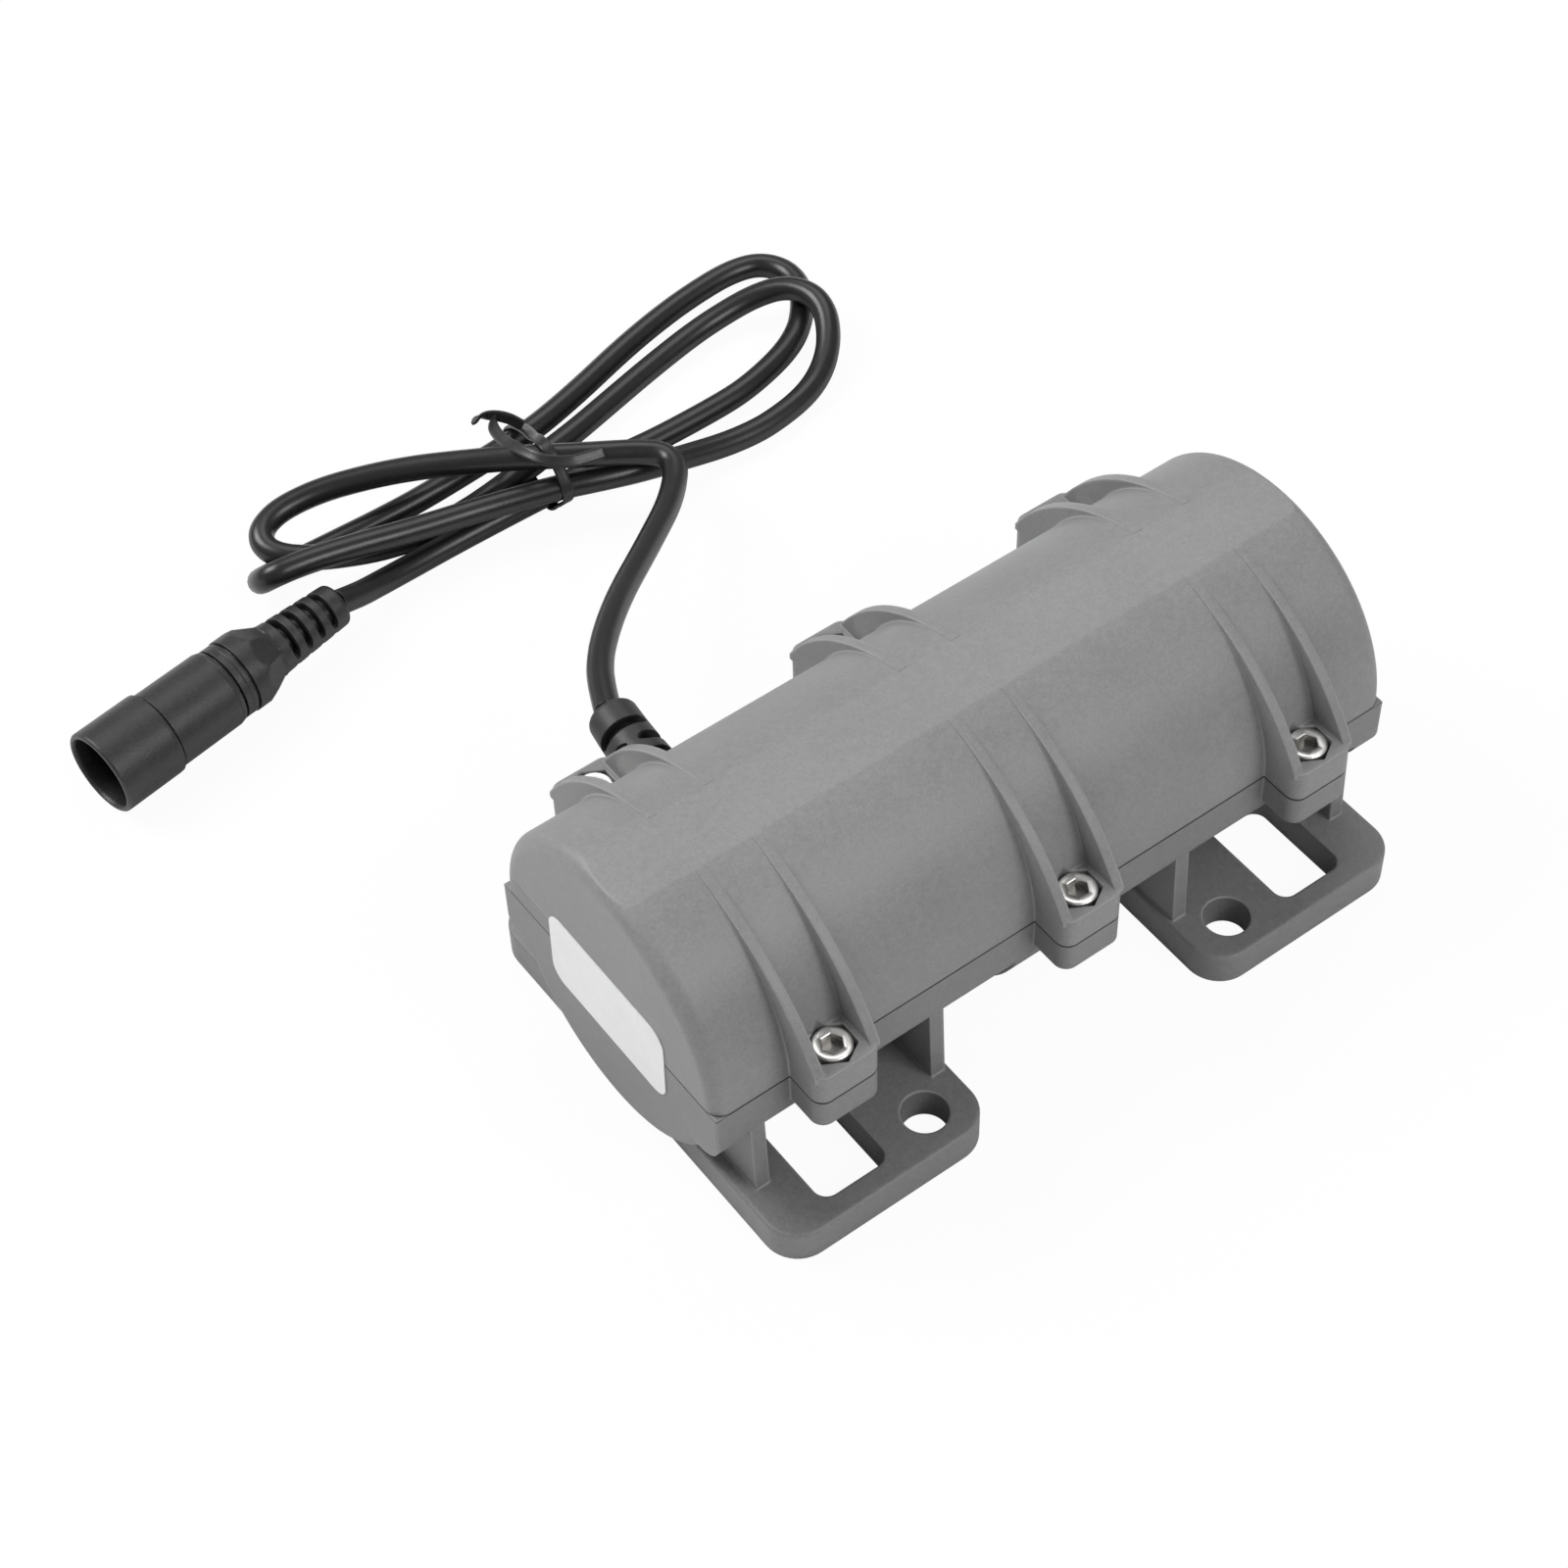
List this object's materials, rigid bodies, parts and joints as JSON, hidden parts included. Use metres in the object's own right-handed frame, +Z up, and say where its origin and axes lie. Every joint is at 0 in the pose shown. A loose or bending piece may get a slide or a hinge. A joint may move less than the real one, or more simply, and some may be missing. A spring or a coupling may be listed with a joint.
{
  "type": "vibration motor",
  "caption": "Small enclosed vibration motor on two slotted feet, with clamped housing halves, eccentric weights inside and a coiled cord ending in a round socket.",
  "frame": {"origin": "middle of the underside of the feet", "axes": "+X along the shaft, away from the labelled end, +Y towards the cord side, +Z up"},
  "size_m": [0.1406, 0.1532, 0.047],
  "materials": {
    "housing_upper": "fine matte grain",
    "housing_lower": "fine matte grain",
    "seal_rubber": "soft matte",
    "screw_steel": "bright, fine turned",
    "nut_steel": "plated",
    "label_paper": "satin, blank",
    "can_steel": "rolled",
    "bell_alloy": "as cast",
    "bearing_steel": "ground",
    "ball_chrome": "polished",
    "lamination_iron": "stacked sheets",
    "winding_wire": "lacquered copper",
    "board_laminate": "green lacquer",
    "chip_plastic": "matte",
    "wire_sheath": "satin",
    "rotor_iron": "turned",
    "magnet_metal": "nickel plated",
    "spacer_alloy": "turned",
    "shaft_steel": "ground",
    "weight_iron": "sintered",
    "relief_rubber": "soft matte",
    "cord_jacket": "soft satin",
    "tie_plastic": "matte",
    "jack_plastic": "matte",
    "insert_plastic": "matte",
    "contact_metal": "nickel plated",
    "pin_brass": "plated"
  },
  "bodies": {
    "base": {"upper_shell": "housing_upper", "lower_shell": "housing_lower", "seam_seal": "seal_rubber", "shell_screws": "screw_steel", "shell_nuts": "nut_steel", "end_label": "label_paper", "motor_can": "can_steel", "rear_end_bell": "bell_alloy", "front_end_bell": "bell_alloy", "rear_bearing_outer_ring": "bearing_steel", "front_bearing_outer_ring": "bearing_steel", "rear_bearing_balls": "ball_chrome", "front_bearing_balls": "ball_chrome", "stator_core": "lamination_iron", "stator_windings": "winding_wire", "driver_board": "board_laminate", "driver_chips": "chip_plastic", "lead_wires": "wire_sheath", "cord_relief": "relief_rubber", "cord_entry": "cord_jacket", "cord_lead_in": "cord_jacket", "cord_hank": "cord_jacket", "cord_tie": "tie_plastic", "cord_lead_out": "cord_jacket", "jack_housing": "jack_plastic", "jack_collar": "jack_plastic", "jack_insert": "insert_plastic", "jack_contact": "contact_metal", "jack_pin": "pin_brass"},
    "rotor": {"shaft": "shaft_steel", "rotor_core": "rotor_iron", "rotor_magnets": "magnet_metal", "rotor_spacers": "spacer_alloy", "rear_bearing_inner_ring": "bearing_steel", "front_bearing_inner_ring": "bearing_steel", "rear_weight": "weight_iron", "front_weight": "weight_iron", "weight_set_screws": "screw_steel"}
  },
  "joints": [
    {"name": "rotor_spin", "type": "hinge", "parent": "base", "child": "rotor", "pos_m": [0, 0, 0.0245], "axis": [1, 0, 0], "continuous": true}
  ]
}
